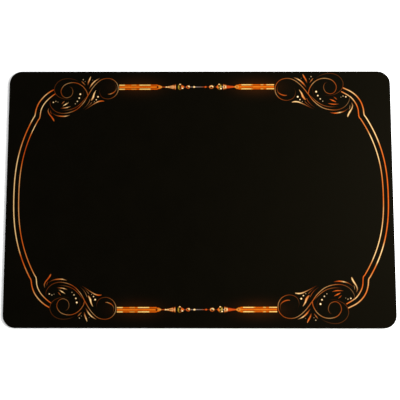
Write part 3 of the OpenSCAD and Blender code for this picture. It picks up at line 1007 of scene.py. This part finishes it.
def suede_mesh():
    columns, rows = round(2 * HALF_LENGTH / CELL), round(2 * HALF_WIDTH / CELL)
    across, along = np.linspace(-1, 1, columns + 1), np.linspace(-1, 1, rows + 1)
    shares = np.array([(x, y) for y in along for x in across])
    number = np.arange(len(shares)).reshape(rows + 1, columns + 1)
    border = [*number[0, :-1], *number[:-1, -1], *number[-1, :0:-1], *number[:0:-1, 0]]
    flat = rounded(shares, RIM[0][0])
    places = [np.column_stack([flat, np.full(len(flat), TOP)])]
    cells = zip(number[:-1, :-1].flat, number[:-1, 1:].flat, number[1:, 1:].flat, number[1:, :-1].flat)
    faces = [tuple(int(i) for i in cell) for cell in cells]
    ring = list(border)
    rings = RIM[1:] + [(0.0, TOP - CLOTH_LOW)]
    for inset, drop in rings:
        outline = rounded(shares[border], inset)
        start = sum(len(block) for block in places)
        places.append(np.column_stack([outline, np.full(len(border), TOP - drop)]))
        below = list(range(start, start + len(border)))
        for i in range(len(border)):
            j = (i + 1) % len(border)
            faces.append((int(ring[i]), below[i], below[j], int(ring[j])))
        ring = below
    faces.append(tuple(reversed(ring)))
    mesh = bpy.data.meshes.new("suede_face")
    mesh.from_pydata(np.concatenate(places).tolist(), [], faces)
    return mesh


def swell_tree():
    group, tree, given = new_tree("suede_swell", {
        "Top": ("Float", TOP),
        "Finish": ("Material", None),
    })
    position = tree.position()
    z = tree.parts(position)[2]
    near_top = tree.smooth_step(z - Value(tree, given["Top"]), -SWELL_REACH, 0.0)
    rise = swell(tree, position) * near_top
    offset = tree.add("ShaderNodeCombineXYZ", values={2: rise})
    values = {"Geometry": given["Geometry"], "Offset": offset.outputs[0]}
    moved = tree.add("GeometryNodeSetPosition", values=values).outputs[0]
    end_tree(tree, moved, given["Finish"])
    return group


suede = grow("suede_face", suede_mesh(), swell_tree(), {"Finish": SUEDE})
for face in suede.data.polygons:
    face.use_smooth = len(face.vertices) == 4
stand_for(suede, "face_cloth")

# %% [markdown]
# ## A slab on the mat's outline
# The sponge and the rubber skin were cut by the same die as the suede, so they share its outline. One
# tree makes such a slab: a straight wall run round the outline, with a lid on top and one below, and
# the seams between them merged. A second part of the tree then shapes it, and that part differs: the
# sponge gets bubbles in its wall, the rubber gets a tread.

# %% The outline and its slab
# Points closer than this are one point, once a slab's wall and lids are joined
SEAM = 0.002 * MM


def outline_mesh(name, step):
    """The mat's outline as a closed polyline, with points about a step apart."""
    columns, rows = round(2 * HALF_LENGTH / step), round(2 * HALF_WIDTH / step)
    along_x, along_y = np.linspace(-1, 1, columns + 1)[:-1], np.linspace(-1, 1, rows + 1)[:-1]
    shares = [(x, -1) for x in along_x] + [(1, y) for y in along_y]
    shares += [(-x, 1) for x in along_x] + [(-1, -y) for y in along_y]
    places = rounded(np.array(shares, float), 0.0)
    loop = [(i, (i + 1) % len(places)) for i in range(len(places))]
    mesh = bpy.data.meshes.new(name)
    mesh.from_pydata([(x, y, 0) for x, y in places], loop, [])
    return mesh


def lifted(tree, geometry, height):
    offset = tree.add("ShaderNodeCombineXYZ", values={2: height}).outputs[0]
    values = {"Geometry": geometry, "Offset": offset}
    return tree.add("GeometryNodeSetPosition", values=values).outputs[0]


def slab(tree, given, levels):
    """A closed slab with `levels` rows of faces in its wall and an attribute `wall` on them."""
    low, high = Value(tree, given["Low"]), Value(tree, given["High"])
    values = {"Count": levels + 1, "Start Location": (0, 0, 0), "Offset": (0, -1 / levels, 0)}
    ladder = tree.add("GeometryNodeMeshLine", values=values).outputs[0]
    profile = tree.add("GeometryNodeMeshToCurve", values={0: ladder}).outputs[0]
    level = tree.parts(tree.position())[1]
    middle = tree.maths("LESS_THAN", tree.maths("ABSOLUTE", level + 0.5), 0.49)
    profile = store(tree, profile, "wall", middle)

    curve = tree.add("GeometryNodeMeshToCurve", values={0: given["Geometry"]}).outputs[0]
    upright = tree.add("GeometryNodeSetCurveNormal", {"mode": "Z_UP"}, {0: curve}).outputs[0]
    values = {"Curve": upright, "Profile Curve": profile, "Scale": high - low}
    wall = tree.add("GeometryNodeCurveToMesh", values=values).outputs[0]
    outwards = tree.add("GeometryNodeFlipFaces", values={0: wall}).outputs[0]
    wall = lifted(tree, outwards, low)
    lid = tree.add("GeometryNodeFillCurve", {"mode": "NGONS"}, {0: curve}).outputs[0]
    top = lifted(tree, lid, high)
    turned = tree.add("GeometryNodeFlipFaces", values={0: lid}).outputs[0]
    bottom = lifted(tree, turned, low)

    values = {"Geometry": tree.join((wall, top, bottom)), "Distance": SEAM}
    return tree.add("GeometryNodeMergeByDistance", values=values).outputs[0]


print("outline of", len(outline_mesh("outline", 0.5 * MM).vertices), "points at half a millimetre")

# %% [markdown]
# ## The sponge core
# The core is closed-cell sponge, and the die leaves a wall of cut bubbles. Only that wall can be seen.
# The tree pushes the wall in wherever a Voronoi pattern has a cell, so the bubbles are real hollows
# that show in the outline as well. Finer cells, too small for the mesh, come from the finish's bump,
# and the finish paints their hollows darker as painted shade.

# %% Sponge
BUBBLE = 1.1 * MM
BUBBLE_DEPTH = 0.28 * MM
FINE_BUBBLE = 0.45 * MM
SPONGE_STEP = 0.45 * MM
sponge_low, sponge_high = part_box("foam_core")


def sponge_finish():
    material, tree, shader, where = new_finish("sponge", {"Roughness": 0.9, "Specular IOR Level": 0.15})
    values = {"Vector": where, "Scale": 1 / FINE_BUBBLE}
    cells = Value(tree, tree.add("ShaderNodeTexVoronoi", values=values).outputs["Distance"])
    patches = noise(tree, where, 6 * MM, 3.0)
    # High at the rims of the fine bubbles and low in their hollows: the bump's height and the painted
    # shade
    bubble_rim = tree.smooth_step(cells, 0.1, 0.6)
    bump(tree, shader, bubble_rim, 0.6, 0.15 * MM)
    # Painted shade: the colour is darker in the hollows of the fine bubbles, and it also varies in random
    # patches
    shade = bubble_rim * 0.65 + patches * 0.35
    colour = mix_colour(tree, shade, (0.005, 0.005, 0.006, 1), (0.024, 0.023, 0.022, 1))
    tree.put(shader.inputs["Base Color"], colour)
    tree.put(shader.inputs["Roughness"], 0.8 + bubble_rim * 0.15)
    return material


def sponge_tree():
    group, tree, given = new_tree("cut_sponge", {
        "Low": ("Float", sponge_low[2]),
        "High": ("Float", sponge_high[2]),
        "Bubble": ("Float", BUBBLE),
        "Depth": ("Float", BUBBLE_DEPTH),
        "Finish": ("Material", None),
    })
    block = slab(tree, given, 8)
    values = {"Vector": tree.position(), "Scale": 1 / Value(tree, given["Bubble"])}
    cells = Value(tree, tree.add("ShaderNodeTexVoronoi", values=values).outputs["Distance"])
    hollow = 1 - tree.smooth_step(cells, 0.1, 0.55)
    push = hollow * Value(tree, given["Depth"]) * named(tree, "wall") * -1.0
    normal = tree.add("GeometryNodeInputNormal").outputs[0]
    inwards = tree.add("ShaderNodeVectorMath", {"operation": "SCALE"}, {0: normal, "Scale": push})
    values = {"Geometry": block, "Offset": inwards.outputs[0]}
    dented = tree.add("GeometryNodeSetPosition", values=values).outputs[0]
    end_tree(tree, dented, given["Finish"])
    return group


outline = outline_mesh("sponge_core", SPONGE_STEP)
sponge = grow("sponge_core", outline, sponge_tree(), {"Finish": sponge_finish()})
stand_for(sponge, "foam_core")

# %% [markdown]
# The suede is a sheet of cloth: it was cut to 600 by 400 mm and lies flat, glued all over to the
# layers below it.

print("the suede was cut to", round(2 * HALF_LENGTH, 3), "by", round(2 * HALF_WIDTH, 3), "m")

# %% [markdown]
# ## The rubber skin
# The underside grips the table with a tread of small diamonds moulded into the rubber. Each is a
# four-sided stud with slanted flanks. Points on a grid, kept only where a whole stud fits, each get a
# stud, and the studs sink a little into a thin slab so that nothing shows a gap.

# %% Tread
TREAD_PITCH = 5 * MM
TREAD_DEPTH = 0.14 * MM
STUD_RADIUS = 2.7 * MM
STUD_TIP = 2.3 * MM
STUD_SINK = 0.05 * MM
# How far the studs stay inside the outline
STUD_MARGIN = 1 * MM
SKIN_STEP = 2 * MM
skin_low, skin_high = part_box("base_skin")


def rubber_finish():
    material, tree, shader, where = new_finish("base_rubber", {"Specular IOR Level": 0.35})
    dust = noise(tree, where, 28 * MM, 4.0, 0.6)
    grain = noise(tree, where, 0.5 * MM)
    bump(tree, shader, grain, 0.25, 0.06 * MM)
    shade = tree.smooth_step(dust, 0.4, 0.7)
    colour = mix_colour(tree, shade, (0.010, 0.010, 0.011, 1), (0.028, 0.027, 0.025, 1))
    tree.put(shader.inputs["Base Color"], colour)
    tree.put(shader.inputs["Roughness"], 0.5 + shade * 0.25 + grain * 0.1)
    return material


def tread_tree():
    group, tree, given = new_tree("rubber_tread", {
        "Low": ("Float", skin_low[2] + TREAD_DEPTH),
        "High": ("Float", skin_high[2]),
        "Pitch": ("Float", TREAD_PITCH),
        "Finish": ("Material", None),
    })
    plate = slab(tree, given, 1)
    pitch = Value(tree, given["Pitch"])
    long_side, short_side = 2 * HALF_LENGTH - 2 * TREAD_PITCH, 2 * HALF_WIDTH - 2 * TREAD_PITCH
    columns = tree.maths("ROUND", long_side / pitch) + 1
    rows = tree.maths("ROUND", short_side / pitch) + 1
    values = {"Size X": long_side, "Size Y": short_side, "Vertices X": columns, "Vertices Y": rows}
    grid = tree.add("GeometryNodeMeshGrid", values=values).outputs[0]
    x, y, _ = tree.parts(tree.position())
    beyond = []
    for place, half in ((x, HALF_LENGTH), (y, HALF_WIDTH)):
        reach = tree.maths("ABSOLUTE", place) - (half - CORNER)
        beyond.append(tree.maths("MAXIMUM", reach, 0.0))
    distance = (beyond[0] * beyond[0] + beyond[1] * beyond[1]) ** 0.5
    fits = tree.maths("LESS_THAN", distance, CORNER - STUD_RADIUS - STUD_MARGIN)
    values = {
        "Vertices": 4, "Side Segments": 1, "Radius Top": STUD_RADIUS, "Radius Bottom": STUD_TIP,
        "Depth": TREAD_DEPTH + STUD_SINK,
    }
    stud = tree.add("GeometryNodeMeshCone", {"fill_type": "NGON"}, values).outputs["Mesh"]
    values = {"Points": grid, "Selection": fits, "Instance": stud}
    studs = tree.add("GeometryNodeInstanceOnPoints", values=values).outputs[0]
    end_tree(tree, tree.join((plate, studs)), given["Finish"])
    return group


outline = outline_mesh("rubber_skin", SKIN_STEP)
skin = grow("rubber_skin", outline, tread_tree(), {"Finish": rubber_finish()})
stand_for(skin, "base_skin")

# %% [markdown]
# ## The bonding film
# The hot-melt film between suede and sponge shows only as a hairline in the cut edge. Its CAD layer
# has the right shape, so it stays, and it gets a dark amber finish that is glossier where the glue
# squeezed out.

# %% Film
def film_finish():
    material, tree, shader, where = new_finish("bonding_film", {"Specular IOR Level": 0.4})
    beads = noise(tree, where, 3 * MM, 3.0)
    bead = tree.smooth_step(beads, 0.35, 0.7)
    colour = mix_colour(tree, bead, (0.022, 0.016, 0.010, 1), (0.075, 0.050, 0.026, 1))
    tree.put(shader.inputs["Base Color"], colour)
    tree.put(shader.inputs["Roughness"], 0.6 - bead * 0.3)
    return material


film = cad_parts["bonding_film"]
film_paint = film_finish()
for material_slot in film.material_slots:
    material_slot.material = film_paint
print("film keeps", len(film.data.polygons), "CAD faces")

# %% [markdown]
# ## Studio
# A pale floor, an even white surround and one large soft light from the right. The light is low enough
# to graze the pile, so the suede is a little lighter on that side. The floor turns pure white far off,
# because a pure white floor under an even surround has the same brightness as the surround, and its
# horizon can't be seen.

# %% Floor and lights
# A hair below the studs, so that no two surfaces lie in one plane
FLOOR = -0.05 * MM
FLOOR_REACH = 40
NEAR_TONES = [(tone, tone, tone, 1) for tone in (0.79, 0.82)]
WHITE = (1, 1, 1, 1)
# Where the floor starts to turn white and where it is white, from the middle of the mat in metres
WHITE_FROM, WHITE_AT = 0.5, 2.2
SURROUND = 0.95
LAMP_SIZE, LAMP_POWER = 0.7, 47
LAMP_PLACE, LAMP_AIM = (1.05, 0.1, 1.05), (0.1, 0, 0)

floor_mesh = bpy.data.meshes.new("floor")
corners = [(x * FLOOR_REACH, y * FLOOR_REACH, FLOOR) for x, y in ((-1, -1), (1, -1), (1, 1), (-1, 1))]
floor_mesh.from_pydata(corners, [], [(0, 1, 2, 3)])
floor = bpy.data.objects.new("floor", floor_mesh)
scene.collection.objects.link(floor)
floor_paint, tree, shader, where = new_finish("floor_paint", {"Roughness": 0.9, "Specular IOR Level": 0.1})
patchy = noise(tree, where, 0.4)
near = mix_colour(tree, patchy, *NEAR_TONES)
x, y, _ = tree.parts(where)
distance = (x ** 2 + y ** 2) ** 0.5
far_off = tree.smooth_step(distance, WHITE_FROM, WHITE_AT)
tree.put(shader.inputs["Base Color"], mix_colour(tree, far_off, near, WHITE))
floor_mesh.materials.append(floor_paint)

world = bpy.data.worlds.new("studio")
scene.world = world
world.use_nodes = True
background = world.node_tree.nodes["Background"]
background.inputs["Color"].default_value = WHITE
background.inputs["Strength"].default_value = SURROUND

lamp = bpy.data.lights.new("key", "AREA")
lamp.shape = "DISK"
lamp.size = LAMP_SIZE
lamp.energy = LAMP_POWER
key = bpy.data.objects.new("key", lamp)
key.location = LAMP_PLACE
aim = Vector(LAMP_AIM) - Vector(LAMP_PLACE)
key.rotation_euler = aim.to_track_quat("-Z", "Y").to_euler()
scene.collection.objects.link(key)
print("one lamp of", LAMP_POWER, "W and a surround of strength", SURROUND)
